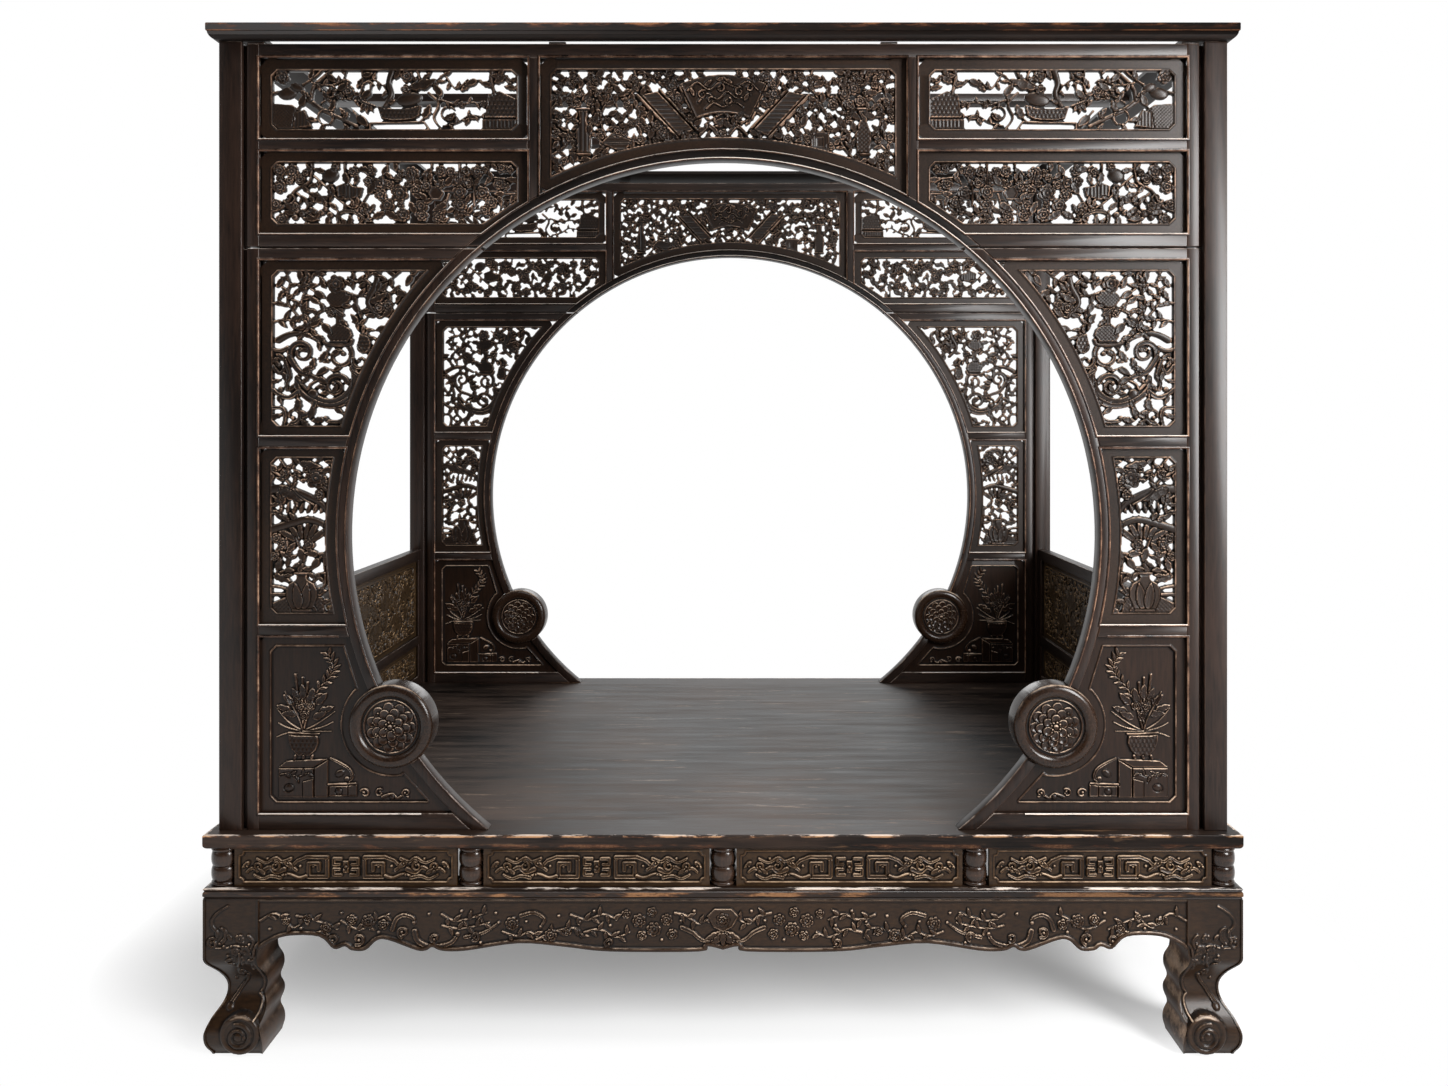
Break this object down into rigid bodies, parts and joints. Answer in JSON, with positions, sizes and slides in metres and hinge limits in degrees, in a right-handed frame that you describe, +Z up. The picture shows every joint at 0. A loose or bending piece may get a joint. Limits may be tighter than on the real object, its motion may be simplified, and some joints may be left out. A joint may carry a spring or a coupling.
{
  "type": "canopy bed",
  "caption": "Four-post canopy bed with round moon-gate screens front and rear, openwork carved panels, low side railings, a plain deck and scroll-footed legs.",
  "frame": {"origin": "centre of the footprint on the floor, midway between the four feet", "axes": "+X along the bed's long side to the right as seen from the front, -Y to the front, +Z up"},
  "size_m": [2.18, 1.5, 2.17],
  "materials": {
    "frame_lacquer": "dark brown lacquer with tan wear on the beads",
    "carved_panel": "dark brown lacquer rubbed tan on the high carving",
    "base_lacquer": "dark brown lacquer with rubbed relief",
    "worn_lacquer": "dark lacquer worn to orange brown along the edges",
    "deck_lacquer": "near-black lacquer, semi-gloss, fine scratches along the boards",
    "raw_wood": "plain unfinished wood under the deck"
  },
  "bodies": {
    "root": {"legs_front": "base_lacquer", "legs_rear": "base_lacquer", "aprons_front_rear": "base_lacquer", "aprons_sides": "base_lacquer", "ledges_front_rear": "worn_lacquer", "ledges_sides": "worn_lacquer", "waist_panels_front_rear": "carved_panel", "waist_panels_sides": "carved_panel", "waist_balusters_corner": "base_lacquer", "waist_balusters_middle": "base_lacquer", "deck_rails_front_rear": "worn_lacquer", "deck_rails_sides": "worn_lacquer", "deck_boards": "deck_lacquer", "deck_battens": "raw_wood", "post_front_left": "frame_lacquer", "post_front_right": "frame_lacquer", "post_rear_left": "frame_lacquer", "post_rear_right": "frame_lacquer", "cornice_front_rear": "frame_lacquer", "cornice_sides": "frame_lacquer", "canopy_battens": "frame_lacquer", "canopy_spacers": "frame_lacquer", "roundels": "frame_lacquer", "front_transom_top_rail": "frame_lacquer", "front_transom_stiles": "frame_lacquer", "front_transom_muntins": "frame_lacquer", "front_transom_rails": "frame_lacquer", "front_crown_arch": "frame_lacquer", "front_side_stiles": "frame_lacquer", "front_side_rails": "frame_lacquer", "front_side_arches": "frame_lacquer", "front_gate_tails": "frame_lacquer", "front_centre_panel": "carved_panel", "front_upper_panels": "carved_panel", "front_shoulder_panels": "carved_panel", "front_scroll_panels": "carved_panel", "front_vase_panels": "carved_panel", "front_corner_panels": "carved_panel", "rear_transom_top_rail": "frame_lacquer", "rear_transom_stiles": "frame_lacquer", "rear_transom_muntins": "frame_lacquer", "rear_transom_rails": "frame_lacquer", "rear_crown_arch": "frame_lacquer", "rear_side_stiles": "frame_lacquer", "rear_side_rails": "frame_lacquer", "rear_side_arches": "frame_lacquer", "rear_gate_tails": "frame_lacquer", "rear_centre_panel": "carved_panel", "rear_upper_panels": "carved_panel", "rear_shoulder_panels": "carved_panel", "rear_scroll_panels": "carved_panel", "rear_vase_panels": "carved_panel", "rear_corner_panels": "carved_panel", "railing_sill_rails": "frame_lacquer", "railing_middle_rails": "frame_lacquer", "railing_top_rails": "frame_lacquer", "railing_stiles": "frame_lacquer", "railing_lower_panels": "carved_panel", "railing_upper_panels": "carved_panel"}
  },
  "joints": []
}
